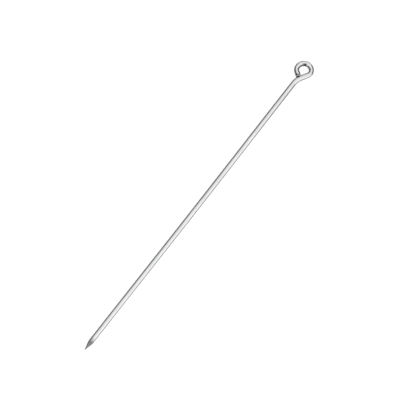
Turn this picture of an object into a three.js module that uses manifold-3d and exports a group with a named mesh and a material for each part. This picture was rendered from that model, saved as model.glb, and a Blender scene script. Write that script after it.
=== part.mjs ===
// Bent-wire bench tool for biology work: a straight, round steel wire with a ground conical
// point at one end and a closed eye, bent from the same wire, at the other.
//
// The tool is one piece of wire and nothing on it moves. Each mesh is one stretch of that wire,
// in the order in which it is formed: the point, the shaft, the neck that sets the wire over to
// one side, and the eye. Neighbouring stretches meet face to face on the same flat section.
//
// Units are millimetres and +Z is up. The tool lies flat: +X runs along the shaft towards the
// eye, the eye's plane is level and the underside of the wire is at z = 0. The origin is under
// the middle of the overall length.

import * as THREE from 'three';
import { mergeVertices } from 'three/addons/utils/BufferGeometryUtils.js';
import Module from 'manifold-3d';

const wasm = await Module();
wasm.setup();

// Driving dimensions.
const WIRE_DIAMETER = 2.9;
const OVERALL_LENGTH = 200;
const POINT_LENGTH = 6.5;
const EYE_OPENING = 5.6; // across the round part of the eye's opening
const EYE_SIDE = -0.3; // the eye's middle, measured across from the shaft's axis
const NECK_ANGLE = THREE.MathUtils.degToRad(30); // between the shaft and the neck
const NECK_OFFSET = 2.95; // from the middle of the eye to the neck's centreline
const NECK_BEND_RADIUS = 9; // this and the next are radii of the wire's centreline
const CORNER_RADIUS = 2.9; // of the tighter bends before and after the eye's round part
const CLOSING_ANGLE = THREE.MathUtils.degToRad(95); // round the eye from +X to the second one
const END_GAP = 0.15; // between the wire's cut end and the neck

// The pincers leave the cut end with a bevel above and below, which meet in a blunt ridge.
const BEVEL_LENGTH = 1;
const RIDGE_HALF = 0.12;
const WEDGE_OVERLAP = 0.05; // how far the cut-away wedges reach past the bevels at either end

// How the ground point swells out before it meets the wire's full diameter.
const SHOULDER_LENGTH = 1.1;
const SHOULDER_RADIUS = 1.32;

// Facets: a multiple of four flats puts one underneath, one on top and one at each side.
const FLATS = 24;
const STEP_LENGTH = 0.5;
const STRAIGHT_LEAD = 1; // straight wire that the neck's stretch takes in ahead of its bend

// Worked-out sizes and places, in the plane of the wire's centreline.
const WIRE_RADIUS = WIRE_DIAMETER / 2;
const CORNER_OF_FLATS = WIRE_RADIUS / Math.cos(Math.PI / FLATS);
const EYE_RADIUS = (EYE_OPENING + WIRE_DIAMETER) / 2;
const TIP_X = -OVERALL_LENGTH / 2;
const SHAFT_START_X = TIP_X + POINT_LENGTH;
const EYE_CENTRE_X = OVERALL_LENGTH / 2 - EYE_RADIUS - WIRE_RADIUS;
const EYE_CENTRE = new THREE.Vector2(EYE_CENTRE_X, EYE_SIDE);
const ALONG_NECK = new THREE.Vector2(Math.cos(NECK_ANGLE), -Math.sin(NECK_ANGLE));
const ACROSS_NECK = new THREE.Vector2(Math.sin(NECK_ANGLE), Math.cos(NECK_ANGLE));

const brightSteel = new THREE.MeshStandardMaterial({
  color: 0xd2d4d6,
  roughness: 0.22,
  metalness: 1,
});
const groundSteel = new THREE.MeshStandardMaterial({
  color: 0x8f9193,
  roughness: 0.5,
  metalness: 1,
});

// The point that lies `along` and `across` the neck from `from`.
function neckPoint(from, along, across) {
  return from.clone().addScaledVector(ALONG_NECK, along).addScaledVector(ACROSS_NECK, across);
}

// The neck's centreline, from the place nearest to the eye's middle: it crosses the shaft's
// line behind that place, and it turns into the corner ahead of it. The corner's arc touches
// both the neck's line and the eye's circle from inside.
const nearestToEye = neckPoint(EYE_CENTRE, 0, -NECK_OFFSET);
const kink = neckPoint(nearestToEye, nearestToEye.y / Math.sin(NECK_ANGLE), 0);
const bendLength = NECK_BEND_RADIUS * Math.tan(NECK_ANGLE / 2);
const bendCentre = new THREE.Vector2(kink.x - bendLength, -NECK_BEND_RADIUS);
const straightStart = neckPoint(kink, bendLength, 0);
const cornerAlong = Math.sqrt(
  (EYE_RADIUS - CORNER_RADIUS) ** 2 - (NECK_OFFSET - CORNER_RADIUS) ** 2,
);
const cornerStart = neckPoint(nearestToEye, cornerAlong, 0);
const cornerCentre = neckPoint(cornerStart, 0, CORNER_RADIUS);
const neckMiddle = straightStart.clone().lerp(cornerStart, 0.5);
const cornerToEyeAngle = cornerCentre.clone().sub(EYE_CENTRE).angle() - 2 * Math.PI;

// The closing bend also touches the eye's circle from inside, and it turns the wire straight
// back at the neck, where it is cut off just short of it.
const closingOffset = new THREE.Vector2(
  Math.cos(CLOSING_ANGLE),
  Math.sin(CLOSING_ANGLE),
).multiplyScalar(EYE_RADIUS - CORNER_RADIUS);
const closingCentre = EYE_CENTRE.clone().add(closingOffset);
const closingToNeck = NECK_OFFSET + closingOffset.dot(ACROSS_NECK);
const cutEnd = neckPoint(
  closingCentre,
  -CORNER_RADIUS,
  WIRE_RADIUS + END_GAP - closingToNeck,
);

// A flat 2D path lifted to the height of the wire's centreline.
class LevelCurve extends THREE.Curve {
  constructor(path) {
    super();
    this.path = path;
  }

  getPoint(t, target = new THREE.Vector3()) {
    const place = this.path.getPoint(t);
    return target.set(place.x, place.y, WIRE_RADIUS);
  }
}

function wireSection() {
  const corners = Array.from({ length: FLATS }, (_, i) => {
    const angle = ((i + 0.5) * 2 * Math.PI) / FLATS;
    return new THREE.Vector2(
      CORNER_OF_FLATS * Math.cos(angle),
      CORNER_OF_FLATS * Math.sin(angle),
    );
  });
  return new THREE.Shape(corners);
}

function wireAlong(path, steps) {
  return new THREE.ExtrudeGeometry(wireSection(), {
    steps,
    extrudePath: new LevelCurve(path),
  });
}

function stepsFor(path) {
  return Math.ceil(path.getLength() / STEP_LENGTH);
}

function toSolid(geometry) {
  const bare = geometry.clone();
  bare.deleteAttribute('normal');
  bare.deleteAttribute('uv');
  const merged = mergeVertices(bare);
  const mesh = new wasm.Mesh({
    numProp: 3,
    vertProperties: merged.attributes.position.array,
    triVerts: Uint32Array.from(merged.index.array),
  });
  return new wasm.Manifold(mesh);
}

function toGeometry(solid) {
  const { vertProperties, triVerts } = solid.getMesh();
  const indexed = new THREE.BufferGeometry();
  indexed.setAttribute('position', new THREE.BufferAttribute(vertProperties, 3));
  indexed.setIndex(new THREE.BufferAttribute(triVerts, 1));
  const faceted = indexed.toNonIndexed();
  faceted.computeVertexNormals();
  return faceted;
}

// The metal that the pincers take off one side of the cut end. Its section is drawn back along
// the wire and up from the wire's axis, and a turn of half a circle puts it underneath.
function makeWedge(turn) {
  const rise = (WIRE_RADIUS - RIDGE_HALF) / BEVEL_LENGTH;
  const top = WIRE_RADIUS + rise * WEDGE_OVERLAP;
  const section = new THREE.Shape([
    new THREE.Vector2(-WEDGE_OVERLAP, RIDGE_HALF - rise * WEDGE_OVERLAP),
    new THREE.Vector2(BEVEL_LENGTH + WEDGE_OVERLAP, top),
    new THREE.Vector2(-WEDGE_OVERLAP, top),
  ]);
  const width = WIRE_DIAMETER + 1;
  const wedge = new THREE.ExtrudeGeometry(section, { depth: width, bevelEnabled: false });
  wedge.translate(0, 0, -width / 2);
  wedge.rotateX(turn);
  const placed = new THREE.Matrix4().makeBasis(
    new THREE.Vector3(ACROSS_NECK.x, ACROSS_NECK.y, 0),
    new THREE.Vector3(0, 0, 1),
    new THREE.Vector3(ALONG_NECK.x, ALONG_NECK.y, 0),
  );
  placed.setPosition(cutEnd.x, cutEnd.y, WIRE_RADIUS);
  return wedge.applyMatrix4(placed);
}

// The point is turned about the wire's axis, with its profile drawn from base to tip.
function makePoint() {
  const profile = [
    new THREE.Vector2(0, 0),
    new THREE.Vector2(CORNER_OF_FLATS, 0),
    new THREE.Vector2(SHOULDER_RADIUS, SHOULDER_LENGTH),
    new THREE.Vector2(0, POINT_LENGTH),
  ];
  const geometry = new THREE.LatheGeometry(profile, FLATS, Math.PI / FLATS);
  const point = new THREE.Mesh(geometry, groundSteel);
  point.name = 'point';
  point.position.set(SHAFT_START_X, 0, WIRE_RADIUS);
  point.rotation.z = Math.PI / 2;
  return point;
}

function makeShaft() {
  const path = new THREE.Path();
  path.moveTo(SHAFT_START_X, 0);
  path.lineTo(bendCentre.x - STRAIGHT_LEAD, 0);
  const shaft = new THREE.Mesh(wireAlong(path, 1), brightSteel);
  shaft.name = 'shaft';
  return shaft;
}

function makeNeck() {
  const path = new THREE.Path();
  path.moveTo(bendCentre.x - STRAIGHT_LEAD, 0);
  path.lineTo(bendCentre.x, 0);
  path.absarc(
    bendCentre.x,
    bendCentre.y,
    NECK_BEND_RADIUS,
    Math.PI / 2,
    Math.PI / 2 - NECK_ANGLE,
    true,
  );
  path.lineTo(neckMiddle.x, neckMiddle.y);
  const neck = new THREE.Mesh(wireAlong(path, stepsFor(path)), brightSteel);
  neck.name = 'neck';
  return neck;
}

// The eye runs from the middle of the neck round the first tight bend, its circle and the
// closing bend to the cut end, where the two bevels are taken off.
function makeEye() {
  const path = new THREE.Path();
  path.moveTo(neckMiddle.x, neckMiddle.y);
  path.lineTo(cornerStart.x, cornerStart.y);
  path.absarc(
    cornerCentre.x,
    cornerCentre.y,
    CORNER_RADIUS,
    -Math.PI / 2 - NECK_ANGLE,
    cornerToEyeAngle,
    false,
  );
  path.absarc(
    EYE_CENTRE.x,
    EYE_CENTRE.y,
    EYE_RADIUS,
    cornerToEyeAngle,
    CLOSING_ANGLE,
    false,
  );
  path.absarc(
    closingCentre.x,
    closingCentre.y,
    CORNER_RADIUS,
    CLOSING_ANGLE,
    Math.PI - NECK_ANGLE,
    false,
  );
  path.lineTo(cutEnd.x, cutEnd.y);
  const uncut = toSolid(wireAlong(path, stepsFor(path)));
  const bevelled = uncut
    .subtract(toSolid(makeWedge(0)))
    .subtract(toSolid(makeWedge(Math.PI)));
  const eye = new THREE.Mesh(toGeometry(bevelled), brightSteel);
  eye.name = 'eye';
  return eye;
}

const tool = new THREE.Group();
tool.name = 'wire_tool';
tool.add(makePoint(), makeShaft(), makeNeck(), makeEye());

export default tool;
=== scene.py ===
"""Looks of the bent-wire tool: bright drawn steel wire, a ground point and a bent eye.

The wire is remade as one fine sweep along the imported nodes' centreline, and the point as a fine
turned form. Every surface pattern is laid out in "unbent" coordinates, which say where a bit of
the surface was while the wire was still straight: X along the wire from the point's tip, Y to
the side that became the inside of the eye, and Z up from the wire's middle.

Lengths are in millimetres, and turn into metres where they are handed to Blender.
"""
import functools
import math
from typing import NamedTuple

import bmesh
import bpy
import numpy as np
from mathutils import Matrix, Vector


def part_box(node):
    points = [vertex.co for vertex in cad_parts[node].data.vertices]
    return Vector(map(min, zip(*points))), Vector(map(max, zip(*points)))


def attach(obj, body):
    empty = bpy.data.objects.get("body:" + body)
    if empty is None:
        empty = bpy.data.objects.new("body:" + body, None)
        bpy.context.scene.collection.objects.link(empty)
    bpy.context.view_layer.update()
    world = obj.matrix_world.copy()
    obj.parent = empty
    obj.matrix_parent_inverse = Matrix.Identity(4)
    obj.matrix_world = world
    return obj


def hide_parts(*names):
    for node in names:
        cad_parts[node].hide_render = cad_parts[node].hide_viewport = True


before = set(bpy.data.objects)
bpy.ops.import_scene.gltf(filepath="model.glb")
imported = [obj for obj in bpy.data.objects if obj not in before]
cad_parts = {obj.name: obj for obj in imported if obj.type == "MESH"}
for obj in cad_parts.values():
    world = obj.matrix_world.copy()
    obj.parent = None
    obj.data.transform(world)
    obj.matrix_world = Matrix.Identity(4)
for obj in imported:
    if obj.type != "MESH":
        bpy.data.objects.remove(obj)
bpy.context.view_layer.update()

MM = 0.001

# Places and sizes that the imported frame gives. The tool is centred, so its eye ends as far out
# as its tip.
SHAFT_LOW, SHAFT_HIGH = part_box("shaft")
SHAFT_X = SHAFT_LOW[0] / MM
TIP_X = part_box("point")[0][0] / MM
FAR_X = -TIP_X
POINT_LENGTH = SHAFT_X - TIP_X
WIRE_RADIUS = (SHAFT_HIGH[2] - SHAFT_LOW[2]) / 2 / MM

# The bends, with the CAD part's driving dimensions.
EYE_RADIUS = 4.25
EYE_SIDE = -0.3
EYE_CENTRE = Vector((FAR_X - EYE_RADIUS - WIRE_RADIUS, EYE_SIDE))
NECK_ANGLE = math.radians(30)
NECK_OFFSET = 2.95
NECK_BEND_RADIUS = 9
CORNER_RADIUS = 2.9
CLOSING_ANGLE = math.radians(95)

# What straightening and bending leave behind. The flattening is the share of its width that the
# wire loses in the round part of the eye, and it fades over this many stations each way.
SHAFT_BOW = 0.19
BEND_FLATTENING = 0.025
FADE_STATIONS = 3

# The pincers' cut: hollow bevels above and below that meet in a blunt ridge beside the neck. The
# hollow is the power that a bevel's height rises with, and the skew is how much further back the
# bevels reach for each millimetre towards the outside of the eye.
END_GAP = 0.01
BEVEL_LENGTH = 1
BEVEL_HOLLOW = 1.6
BEVEL_SKEW = 0.3
BEVEL_ROUNDING = 0.1
RIDGE_HALF = 0.12
RIDGE_NARROWING = 0.06
CUT_SLANT = math.radians(5)

# The ground point.
TIP_ROUNDING = 0.07
SHOULDER_LENGTH = 1.6

# How fine the meshes are.
AROUND = 72
ARC_STEP = math.radians(2.5)
LINE_STEP = 1.5
CUT_STEP = 0.06
CUT_RINGS = 25
TIP_RINGS = 6
CONE_RINGS = 36


# ---- The wire's centreline ---------------------------------------------------------------

class Station(NamedTuple):
    """A place on the centreline: where it is, which way the wire runs there, how far it is
    along the wire from the point's tip, and how sharply the wire curves, + to the left."""

    x: float
    y: float
    heading: float
    length: float
    curve: float

    def place(self, ahead=0.0, left=0.0, up=0.0):
        """The place this far from the station, up from the wire's middle."""
        return (
            self.x + ahead * math.cos(self.heading) - left * math.sin(self.heading),
            self.y + ahead * math.sin(self.heading) + left * math.cos(self.heading),
            WIRE_RADIUS + up,
        )

    def straight_back(self, distance):
        """The station this far back on the straight."""
        x, y, _ = self.place(ahead=-distance)
        return self._replace(x=x, y=y, length=self.length - distance)


def neck_point(start, along, across):
    """The point at these distances along the neck and square to it, towards the eye."""
    return start + Vector((
        along * math.cos(NECK_ANGLE) + across * math.sin(NECK_ANGLE),
        across * math.cos(NECK_ANGLE) - along * math.sin(NECK_ANGLE),
    ))


def line(length):
    return length, 0.0


def arc(radius, turn):
    return radius * abs(turn), turn


def route():
    """The wire's moves from the end of the point to the cut, each a length and a turn."""
    nearest = neck_point(EYE_CENTRE, 0, -NECK_OFFSET)
    kink = neck_point(nearest, nearest.y / math.sin(NECK_ANGLE), 0)
    bend_length = NECK_BEND_RADIUS * math.tan(NECK_ANGLE / 2)
    corner_along = math.sqrt(
        (EYE_RADIUS - CORNER_RADIUS) ** 2 - (NECK_OFFSET - CORNER_RADIUS) ** 2
    )
    corner = neck_point(nearest, corner_along, CORNER_RADIUS) - EYE_CENTRE
    leaving_corner = math.atan2(corner.y, corner.x) + math.pi / 2
    square_to_neck = math.pi * 3 / 2 - NECK_ANGLE
    closing_to_neck = NECK_OFFSET + (EYE_RADIUS - CORNER_RADIUS) * math.sin(
        CLOSING_ANGLE + NECK_ANGLE
    )
    return (
        line(kink.x - bend_length - SHAFT_X),
        arc(NECK_BEND_RADIUS, -NECK_ANGLE),
        line((nearest - kink).length + corner_along - bend_length),
        arc(CORNER_RADIUS, leaving_corner + NECK_ANGLE),
        arc(EYE_RADIUS, CLOSING_ANGLE + math.pi / 2 - leaving_corner),
        arc(CORNER_RADIUS, square_to_neck - CLOSING_ANGLE - math.pi / 2),
        line(closing_to_neck - WIRE_RADIUS - END_GAP),
    )


@functools.cache
def stations():
    """The wire's stations, from the end of the point to the cut."""
    here = Station(SHAFT_X, 0.0, 0.0, POINT_LENGTH, 0.0)
    passed = [here]
    for length, turn in route():
        if turn:
            steps = math.ceil(abs(turn) / ARC_STEP)
        else:
            steps = max(2, math.ceil(length / LINE_STEP))
        half = turn / steps / 2
        chord = length / steps * np.sinc(half / math.pi)
        for _ in range(steps):
            x, y, _ = here._replace(heading=here.heading + half).place(ahead=chord)
            here = Station(
                x, y, here.heading + 2 * half, here.length + length / steps, turn / length,
            )
            passed.append(here)
    return passed


def length_nearest(spot, candidates):
    """How far along the wire the station nearest this spot is."""
    return min(candidates, key=lambda station: math.dist(station[:2], spot)).length


def length_at(angle):
    """How far along the wire it is at this direction from the middle of the eye."""
    spot = EYE_CENTRE + EYE_RADIUS * Vector((math.cos(angle), math.sin(angle)))
    return length_nearest(spot, stations())


def length_beside_cut():
    """How far along the wire the place on the neck is that the cut end faces."""
    end_of_neck = length_at(-math.pi / 2)
    before_eye = [station for station in stations() if station.length < end_of_neck]
    return length_nearest(stations()[-1][:2], before_eye)


def bowed(station):
    """The station moved by the shaft's bow: most in its middle, not at all at either end."""
    shaft_length, _ = route()[0]
    share = min(max((station.x - SHAFT_X) / shaft_length, 0), 1)
    return station._replace(y=station.y - SHAFT_BOW * math.sin(math.pi * share) ** 2)


# ---- Meshes ------------------------------------------------------------------------------

def circle(radius):
    """The points round the wire at this radius, as (left, up) pairs."""
    for i in range(AROUND):
        angle = 2 * math.pi * i / AROUND
        yield radius * math.cos(angle), radius * math.sin(angle)


def tube_faces(rings):
    """Faces of a tube of this many rings, with a fan on each end round one more vertex each."""
    faces = []
    for ring in range(rings - 1):
        for i in range(AROUND):
            j = (i + 1) % AROUND
            a = ring * AROUND
            faces.append((a + i, a + j, a + AROUND + j, a + AROUND + i))
    first = rings * AROUND
    last = (rings - 1) * AROUND
    for i in range(AROUND):
        j = (i + 1) % AROUND
        faces.append((first, j, i))
        faces.append((first + 1, last + i, last + j))
    return faces


def make_tube(name, rings, ends, sharp_rings):
    """A closed smooth tube, creased round its sharp rings. A ring is a list of points, the ends
    are the two points that close the tube, and a point is its place and its unbent coordinates."""
    points = [point for ring in rings for point in ring] + ends
    places, unbent = (np.array(values) for values in zip(*points))
    mesh = bpy.data.meshes.new(name)
    mesh.from_pydata((places * MM).tolist(), [], tube_faces(len(rings)))
    attribute = mesh.attributes.new("unbent", "FLOAT_VECTOR", "POINT")
    attribute.data.foreach_set("vector", unbent.astype(np.float32).ravel())
    form = bmesh.new()
    form.from_mesh(mesh)
    bmesh.ops.recalc_face_normals(form, faces=form.faces)
    for face in form.faces:
        face.smooth = True
    for edge in form.edges:
        first, second = (vertex.index // AROUND for vertex in edge.verts)
        if first == second and first in sharp_rings:
            edge.smooth = False
    form.to_mesh(mesh)
    form.free()
    piece = bpy.data.objects.new(name, mesh)
    bpy.context.scene.collection.objects.link(piece)
    return piece


def smoothed_curves():
    """The stations' curves as a running mean, so that what bending leaves fades in and out."""
    curves = [station.curve for station in stations()]
    window = 2 * FADE_STATIONS + 1
    padded = np.pad(curves, FADE_STATIONS, mode="edge")
    return np.convolve(padded, np.ones(window) / window, mode="valid")


def held_below(value, limit):
    """value, rounded over where it comes up to the limit and held at it beyond."""
    share = min(max(0.5 + 0.5 * (limit - value) / BEVEL_ROUNDING, 0), 1)
    return limit * (1 - share) + value * share - BEVEL_ROUNDING * share * (1 - share)


def pinched(side, up, back):
    """A point's side and up, this far back from the cut, once the pincers have closed on it."""
    rise = max((back + BEVEL_SKEW * side) / BEVEL_LENGTH, 0) ** BEVEL_HOLLOW
    limit = RIDGE_HALF + (WIRE_RADIUS - RIDGE_HALF) * rise
    narrowing = RIDGE_NARROWING * max(0, 1 - back / BEVEL_LENGTH) ** 2
    return side * (1 - narrowing), math.copysign(held_below(abs(up), limit), up)


def wire_ring(station):
    """The points round the wire at this station."""
    back = stations()[-1].length - station.length
    slant = math.tan(CUT_SLANT) * max(0, 1 - back / (2 * BEVEL_LENGTH))
    flattening = BEND_FLATTENING * (station.curve * EYE_RADIUS) ** 2
    ring = []
    for round_side, round_up in circle(WIRE_RADIUS):
        side, up = pinched(round_side * (1 - flattening), round_up, back)
        place = station.place(ahead=-side * slant, left=side, up=up)
        ring.append((place, (station.length, round_side, round_up)))
    return ring


def make_wire():
    """The shaft, neck and eye as one closed sweep that ends in the pincers' cut."""
    end = stations()[-1]
    cut_starts = end.length - (CUT_RINGS + 1) * CUT_STEP
    rings = []
    for station, curve in zip(stations(), smoothed_curves()):
        if station.length < cut_starts:
            rings.append(wire_ring(bowed(station)._replace(curve=curve)))
    for step in range(CUT_RINGS, -1, -1):
        rings.append(wire_ring(end.straight_back(step * CUT_STEP)))
    ends = [(station.place(), (station.length, 0, 0)) for station in (stations()[0], end)]
    return make_tube("drawn_wire", rings, ends, sharp_rings=(0, len(rings) - 1))


def cone_radius(back):
    """The ground point's radius at this distance back from its sharp apex: a cone that swells
    over into the wire's full width."""
    span = 2 * POINT_LENGTH - SHOULDER_LENGTH
    to_full = POINT_LENGTH - back
    if to_full > SHOULDER_LENGTH:
        return 2 * WIRE_RADIUS * back / span
    return WIRE_RADIUS * (1 - to_full ** 2 / (SHOULDER_LENGTH * span))


def point_profile():
    """The point's outline from its rounded tip to the shaft, as (back, radius) pairs."""
    middle = POINT_LENGTH / 2
    half_angle = math.atan(cone_radius(middle) / middle)
    profile = []
    for step in range(1, TIP_RINGS + 1):
        turn = (math.pi / 2 - half_angle) * step / TIP_RINGS
        profile.append((TIP_ROUNDING * (1 - math.cos(turn)), TIP_ROUNDING * math.sin(turn)))
    start, start_radius = profile[-1]
    apex = start - start_radius / math.tan(half_angle)
    for step in range(1, CONE_RINGS + 1):
        back = start + (POINT_LENGTH - start) * step / CONE_RINGS
        from_apex = (back - apex) * POINT_LENGTH / (POINT_LENGTH - apex)
        profile.append((back, cone_radius(from_apex)))
    return profile


def make_point():
    """The ground point, turned about the wire's axis."""
    def point(back, side, up):
        return (TIP_X + back, side, WIRE_RADIUS + up), (back, side, up)

    rings = []
    for back, radius in point_profile():
        rings.append([point(back, side, up) for side, up in circle(radius)])
    ends = [point(0, 0, 0), point(POINT_LENGTH, 0, 0)]
    return make_tube("ground_point", rings, ends, sharp_rings=(len(rings) - 1,))


# ---- Node trees --------------------------------------------------------------------------

def feed(socket, value):
    """Set an input, or link it where the value is a pattern or another node's output."""
    source = getattr(value, "socket", value)
    if isinstance(source, bpy.types.NodeSocket):
        socket.id_data.links.new(source, socket)
    else:
        socket.default_value = source


def add_node(tree, kind, inputs=None, **settings):
    """A new node with these settings and these values on its inputs."""
    node = tree.nodes.new(kind)
    for key, value in settings.items():
        setattr(node, key, value)
    for key, value in (inputs or {}).items():
        feed(node.inputs[key], value)
    return node


class Pattern:
    """A number that varies from place to place, so that node maths reads like arithmetic."""

    def __init__(self, socket):
        self.socket = socket
        self.tree = socket.id_data

    def combined(self, operation, a, b=0.0):
        node = add_node(self.tree, "ShaderNodeMath", {0: a, 1: b}, operation=operation)
        return Pattern(node.outputs[0])

    def __add__(self, other):
        return self.combined("ADD", self, other)

    def __sub__(self, other):
        return self.combined("SUBTRACT", self, other)

    def __rsub__(self, other):
        return self.combined("SUBTRACT", other, self)

    def __mul__(self, other):
        return self.combined("MULTIPLY", self, other)

    def __pow__(self, other):
        return self.combined("POWER", self, other)

    def __abs__(self):
        return self.combined("ABSOLUTE", self)

    def or_more(self, other):
        return self.combined("MAXIMUM", self, other)

    def ramp(self, start, end, low=0.0, high=1.0, kind="LINEAR"):
        """low where the pattern is at start, high where it is at end, and held beyond them."""
        node = add_node(self.tree, "ShaderNodeMapRange", {
            "Value": self,
            "From Min": start,
            "From Max": end,
            "To Min": low,
            "To Max": high,
        }, interpolation_type=kind)
        return Pattern(node.outputs["Result"])


def noise(place, grain, detail=4, roughness=0.55):
    """Noise whose grain is this fine along X, Y and Z, in cycles per millimetre."""
    tree = place.id_data
    mapped = add_node(tree, "ShaderNodeMapping", {"Vector": place, "Scale": grain})
    node = add_node(tree, "ShaderNodeTexNoise", {
        "Vector": mapped.outputs[0],
        "Scale": 1,
        "Detail": detail,
        "Roughness": roughness,
    })
    return Pattern(node.outputs["Fac"])


def blended(factor, a, b, kind="RGBA"):
    """a where the factor is 0 and b where it is 1: colours, or numbers where kind is FLOAT."""
    node = add_node(factor.tree, "ShaderNodeMix", data_type=kind)
    inputs = {socket.name: socket for socket in node.inputs if socket.enabled}
    feed(inputs["Factor"], factor)
    feed(inputs["A"], a)
    feed(inputs["B"], b)
    return Pattern(next(socket for socket in node.outputs if socket.enabled))


# ---- Materials ---------------------------------------------------------------------------

# Colours: the darkest and the brightest of the ground and of the drawn finish, then that of
# sheared metal, painted bright as a highlight, and that of the painted shade.
GROUND_DARK = (0.3, 0.303, 0.307, 1)
GROUND_BRIGHT = (0.52, 0.523, 0.527, 1)
DRAWN_DARK = (0.7, 0.705, 0.712, 1)
DRAWN_BRIGHT = (0.88, 0.882, 0.885, 1)
SHEARED_HIGHLIGHT = (0.93, 0.93, 0.93, 1)
PAINTED_SHADE_DARK = (0.04, 0.0395, 0.038, 1)

# How brightly clean metal shines at a grazing angle, and how brightly it does under the painted
# shade.
CLEAN_GRAZING = (1, 1, 1, 1)
PAINTED_SHADE_GRAZING = (0.3, 0.3, 0.3, 1)

# Roughness: of the ground and of the drawn finish, where the noise behind it is low and where
# it is high, then what lines and scratches add, and that of the sheared bevels.
GROUND_ROUGHNESS = (0.62, 0.76)
DRAWN_ROUGHNESS = (0.07, 0.14)
LINE_ROUGHNESS = 0.05
SHEARED_ROUGHNESS = 0.85

# How deep the marks of grinding and of drawing are, and how strongly they tilt the light.
GROUND_DEPTH = 0.006
GROUND_BUMP = 0.6
DRAWN_DEPTH = 0.003
DRAWN_BUMP = 0.5

# How far the grinding runs out along the shaft, and how strong it is where it starts.
RUN_OUT_LENGTH = 3
RUN_OUT_STRENGTH = 0.9

# Where painted shade darkens the wire and where it was sheared: directions from the eye's middle,
# and pairs of unbent distances between which a mark goes from faint or nothing to full. Single
# distances shift a mark along the wire or make its edge ragged.
# The painted shade on the inside of the eye.
INSIDE_STARTS = math.radians(-20)
INSIDE_FULL = math.radians(60)
INSIDE_SIDE = (0.3, 0.85)
INSIDE_BACK = (1, 8)
# The band of painted shade across the far end of the eye.
SHADE_BAND_AT = math.radians(29)
SHADE_BAND_RAGGED = 0.6
SHADE_BAND_AWAY = (2, 1.2)
SHADE_BAND_SIDE = (-0.3, 0.7)
LIP_MIDDLE = 0.05
LIP_AWAY = (0.29, 0.17)
LIP_SIDE = (0.9, 0.2)
RIDGE_BACK = (0.22, 0.08)
# The painted shade on the neck beside the cut end.
NECK_SHADE_SHIFT = -0.4
NECK_SHADE_AWAY = (1.3, 0.7)
NECK_SHADE_SIDE = (0.65, 1.05)
SHEARED_AWAY = (0.02, -0.12)


def steel(name):
    """A metal material, its shader and the unbent coordinates."""
    material = bpy.data.materials.new(name)
    material.use_nodes = True
    tree = material.node_tree
    shader = tree.nodes["Principled BSDF"]
    shader.inputs["Metallic"].default_value = 1
    place = add_node(
        tree, "ShaderNodeAttribute", attribute_name="unbent", attribute_type="GEOMETRY",
    )
    return material, shader, place.outputs["Vector"]


def finish(shader, colour, roughness, height, depth, bump):
    """Give the shader this finish, with bumps of this depth."""
    bumps = add_node(shader.id_data, "ShaderNodeBump", {
        "Height": height,
        "Strength": bump,
        "Distance": depth * MM,
    })
    feed(shader.inputs["Base Color"], colour)
    feed(shader.inputs["Roughness"], roughness)
    feed(shader.inputs["Normal"], bumps.outputs["Normal"])


def grinding(place):
    """The ground finish as (colour, roughness, height): fine rings left by the wheel, over
    faintly mottled grey."""
    rings = noise(place, grain=(9, 0.5, 0.5), detail=5, roughness=0.6)
    waves = noise(place, grain=(2.2, 0.4, 0.4), detail=3)
    mottle = noise(place, grain=(0.9, 0.9, 0.9))
    shade = (rings * 0.5 + mottle).ramp(0.45, 1.05)
    colour = blended(shade, GROUND_DARK, GROUND_BRIGHT)
    return colour, waves.ramp(0.3, 0.7, *GROUND_ROUGHNESS), rings + waves


def inside_shade(along, side, grain):
    """Painted shade on the inside of the eye, all along its round part, and less of it just before
    the cut."""
    back = stations()[-1].length - along
    shaded_share = side.ramp(*INSIDE_SIDE) * along.ramp(length_at(INSIDE_STARTS), length_at(INSIDE_FULL))
    return shaded_share * grain.ramp(0.3, 0.6, 0.72, 0.95) * back.ramp(*INSIDE_BACK, 0.1, 1)


def shade_band(along, side, grain):
    """A band of painted shade across the wire, mostly on its inside, at the far end of the eye."""
    away = abs(along - length_at(SHADE_BAND_AT)) + grain * SHADE_BAND_RAGGED
    return away.ramp(*SHADE_BAND_AWAY) * side.ramp(*SHADE_BAND_SIDE)


def cut_shade_and_faces(along, side, up):
    """The cut's painted shade, a dark line along the lip of its bevels and over its ridge beside
    the neck, and the bevels' sheared faces."""
    back = stations()[-1].length - along + side * BEVEL_SKEW
    rise = abs(up).ramp(RIDGE_HALF, WIRE_RADIUS)
    from_lip = back - rise ** (1 / BEVEL_HOLLOW) * BEVEL_LENGTH
    lip = abs(from_lip - LIP_MIDDLE).ramp(*LIP_AWAY) * side.ramp(*LIP_SIDE)
    ridge = back.ramp(*RIDGE_BACK)
    return lip.or_more(ridge), from_lip.ramp(*SHEARED_AWAY)


def neck_shade(along, side):
    """Painted shade on the neck beside the cut end."""
    away = abs(along - (length_beside_cut() + NECK_SHADE_SHIFT))
    return away.ramp(*NECK_SHADE_AWAY) * side.ramp(*NECK_SHADE_SIDE)


def run_out(place, along):
    """How strongly the point's grinding still shows on the shaft."""
    ragged = noise(place, grain=(1.5, 1.2, 1.2), detail=3).ramp(0.3, 0.6, 0.45, 1)
    return along.ramp(POINT_LENGTH, POINT_LENGTH + RUN_OUT_LENGTH, RUN_OUT_STRENGTH, 0) * ragged


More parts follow.
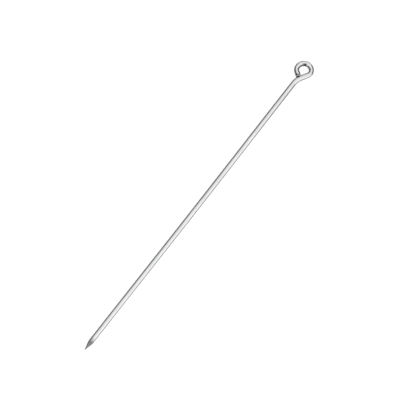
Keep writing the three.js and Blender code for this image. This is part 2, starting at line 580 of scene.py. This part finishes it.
def bright_steel():
    """Drawn wire: faint die lines along it, a few scratches, handling haze, painted shade inside
    the eye, across its far end, round the cut end and on the neck beside it, a painted highlight
    on the cut's sheared faces, and grinding that runs out beside the point."""
    material, shader, place = steel("bright_steel")
    parts = add_node(place.id_data, "ShaderNodeSeparateXYZ", {0: place})
    along, side, up = (Pattern(socket) for socket in parts.outputs)
    lines = noise(place, grain=(0.03, 7, 7), detail=6, roughness=0.65)
    broad_lines = noise(place, grain=(0.012, 1.6, 1.6), detail=3)
    haze = noise(place, grain=(0.09, 0.5, 0.5), detail=5, roughness=0.6)
    scratches = noise(place, grain=(0.5, 5, 5), detail=2, roughness=0.4).ramp(0.66, 0.7)
    shade_grain = noise(place, grain=(0.6, 2.5, 2.5))

    cut_shade, sheared = cut_shade_and_faces(along, side, up)
    # Painted shade: inside the eye, at the cut's lip and ridge, across the eye's far end and on
    # the neck beside the cut end.
    painted_shade = inside_shade(along, side, shade_grain).or_more(cut_shade)
    painted_shade = painted_shade.or_more(shade_band(along, side, shade_grain)).or_more(neck_shade(along, side))
    ground = run_out(place, along)
    ground_colour, ground_roughness, ground_height = grinding(place)

    tone = haze + broad_lines + lines - scratches * 0.4
    colour = blended(tone.ramp(1.15, 1.85), DRAWN_DARK, DRAWN_BRIGHT)
    # The sheared faces are painted brighter: real sheared metal with a painted highlight.
    colour = blended(sheared, colour, SHEARED_HIGHLIGHT)
    # The painted shade turns the metal nearly black.
    colour = blended(painted_shade, colour, PAINTED_SHADE_DARK)
    colour = blended(ground, colour, ground_colour)
    roughness = haze.ramp(0.35, 0.7, *DRAWN_ROUGHNESS) + (lines + scratches) * LINE_ROUGHNESS
    roughness = blended(ground, roughness, ground_roughness, "FLOAT")
    roughness = blended(sheared, roughness, SHEARED_ROUGHNESS, "FLOAT")
    height = lines * 0.5 - scratches + ground_height * ground
    finish(shader, colour, roughness, height, DRAWN_DEPTH, DRAWN_BUMP)
    # Under the painted shade the grazing reflection is dimmed too.
    feed(shader.inputs["Specular Tint"], blended(painted_shade, CLEAN_GRAZING, PAINTED_SHADE_GRAZING))
    return material


def ground_steel():
    """The ground point: matte, with rings from the wheel."""
    material, shader, place = steel("ground_steel")
    finish(shader, *grinding(place), GROUND_DEPTH, GROUND_BUMP)
    return material


# ---- Studio ------------------------------------------------------------------------------

# The camera looks straight down, turned so that the tool leans this far above the picture's
# horizontal. It takes in this width at the height of the wire's middle, and aims this far right
# of and above the tool's middle in the picture.
LEAN = math.radians(51.9)
FRAME_WIDTH = 218.8
AIM_RIGHT = 1.6
AIM_UP = 3.54
FOCAL_LENGTH = 100
SENSOR_WIDTH = 36
CLIP_NEAR = 10
CLIP_FAR = 50000
PICTURE_RIGHT = Vector((math.cos(LEAN), -math.sin(LEAN), 0))
PICTURE_UP = Vector((math.sin(LEAN), math.cos(LEAN), 0))

# The floor is a grey card to the wire that reflects it. The camera sees it burnt out to white.
FLOOR_HALF = 3000
FLOOR_CARD = (0.37, 0.37, 0.37, 1)
FLOOR_PAPER = (0.5, 0.5, 0.5, 1)
FLOOR_GLOW = 0.78

# The light: a white tent, brighter on its near side (-Y) than on its far side. The camera sees
# a plain white backdrop in its place.
TENT_WHITE = (0.8, 0.8, 0.8, 1)
TENT_NEAR = 1.42
TENT_FAR = 1.03
TENT_FADE = 0.7
BACKDROP_WHITE = (1, 1, 1, 1)
BACKDROP_LIGHT = 1.1


class Opening(NamedTuple):
    """A round opening of the tent, with a dark room behind it. Its middle is at this azimuth,
    counter-clockwise from the picture's right, and this far above the horizon, and it reaches
    this far all round, in degrees."""

    azimuth: float
    height: float
    reach: float
    darkness: float


OPENINGS = (
    Opening(azimuth=195, height=18, reach=37, darkness=0.86),
    Opening(azimuth=142, height=0, reach=26, darkness=0.93),
    Opening(azimuth=5, height=12, reach=36.5, darkness=0.85),
)
OPENING_BLUR = 4


def make_camera():
    camera = bpy.data.cameras.new("camera")
    camera.lens = FOCAL_LENGTH
    camera.sensor_width = SENSOR_WIDTH
    camera.clip_start = CLIP_NEAR * MM
    camera.clip_end = CLIP_FAR * MM
    holder = bpy.data.objects.new("camera", camera)
    height = WIRE_RADIUS + FRAME_WIDTH * FOCAL_LENGTH / SENSOR_WIDTH
    aim = PICTURE_RIGHT * AIM_RIGHT + PICTURE_UP * AIM_UP
    holder.location = (aim + Vector((0, 0, height))) * MM
    holder.rotation_euler = (0, 0, -LEAN)
    bpy.context.scene.collection.objects.link(holder)
    bpy.context.scene.camera = holder


def seen_by_camera(tree, others, camera):
    """A shader that the camera sees as one thing and every other ray as another."""
    rays = add_node(tree, "ShaderNodeLightPath")
    mixed = add_node(tree, "ShaderNodeMixShader", {
        0: rays.outputs["Is Camera Ray"],
        1: others.outputs[0],
        2: camera.outputs[0],
    })
    return mixed.outputs[0]


def make_floor():
    """The plain pale floor."""
    material = bpy.data.materials.new("floor_white")
    material.use_nodes = True
    tree = material.node_tree
    tree.nodes.clear()
    card = add_node(tree, "ShaderNodeBsdfDiffuse", {"Color": FLOOR_CARD})
    paper = add_node(tree, "ShaderNodeBsdfDiffuse", {"Color": FLOOR_PAPER})
    glow = add_node(tree, "ShaderNodeEmission", {"Strength": FLOOR_GLOW})
    burnt_out = add_node(
        tree, "ShaderNodeAddShader", {0: paper.outputs[0], 1: glow.outputs[0]},
    )
    add_node(
        tree, "ShaderNodeOutputMaterial", {"Surface": seen_by_camera(tree, card, burnt_out)},
    )
    half = FLOOR_HALF * MM
    mesh = bpy.data.meshes.new("floor")
    mesh.from_pydata(
        [(-half, -half, 0), (half, -half, 0), (half, half, 0), (-half, half, 0)],
        [],
        [(0, 1, 2, 3)],
    )
    mesh.materials.append(material)
    floor = bpy.data.objects.new("floor", mesh)
    bpy.context.scene.collection.objects.link(floor)


def towards(direction, vector):
    """How much a direction points the same way as this vector: 1 where it is the same."""
    node = add_node(
        direction.id_data, "ShaderNodeVectorMath", {0: direction, 1: vector},
        operation="DOT_PRODUCT",
    )
    return Pattern(node.outputs["Value"])


def opening_light(direction, opening):
    """How much light comes from a direction: all of it outside this opening of the tent."""
    azimuth = math.radians(opening.azimuth)
    height = math.radians(opening.height)
    level = math.cos(azimuth) * PICTURE_RIGHT + math.sin(azimuth) * PICTURE_UP
    middle = math.cos(height) * level + Vector((0, 0, math.sin(height)))
    outside = math.cos(math.radians(opening.reach + OPENING_BLUR))
    inside = math.cos(math.radians(opening.reach - OPENING_BLUR))
    return towards(direction, middle).ramp(outside, inside, 1, 1 - opening.darkness, "SMOOTHSTEP")


def make_world():
    """The white tent and the backdrop."""
    world = bpy.data.worlds.new("studio")
    world.use_nodes = True
    tree = world.node_tree
    tree.nodes.clear()
    direction = add_node(tree, "ShaderNodeTexCoord").outputs["Generated"]
    light = towards(direction, (0, 1, 0)).ramp(-TENT_FADE, TENT_FADE, TENT_NEAR, TENT_FAR)
    for opening in OPENINGS:
        light = light * opening_light(direction, opening)
    tent = add_node(tree, "ShaderNodeBackground", {"Color": TENT_WHITE, "Strength": light})
    backdrop = add_node(tree, "ShaderNodeBackground", {
        "Color": BACKDROP_WHITE,
        "Strength": BACKDROP_LIGHT,
    })
    add_node(tree, "ShaderNodeOutputWorld", {"Surface": seen_by_camera(tree, tent, backdrop)})
    bpy.context.scene.world = world


# ---- The tool ----------------------------------------------------------------------------

make_camera()
make_floor()
make_world()
bpy.context.scene.view_settings.view_transform = "Standard"

wire = make_wire()
wire.data.materials.append(bright_steel())
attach(wire, "root")
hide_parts("shaft", "neck", "eye")

point = make_point()
point.data.materials.append(ground_steel())
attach(point, "root")
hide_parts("point")
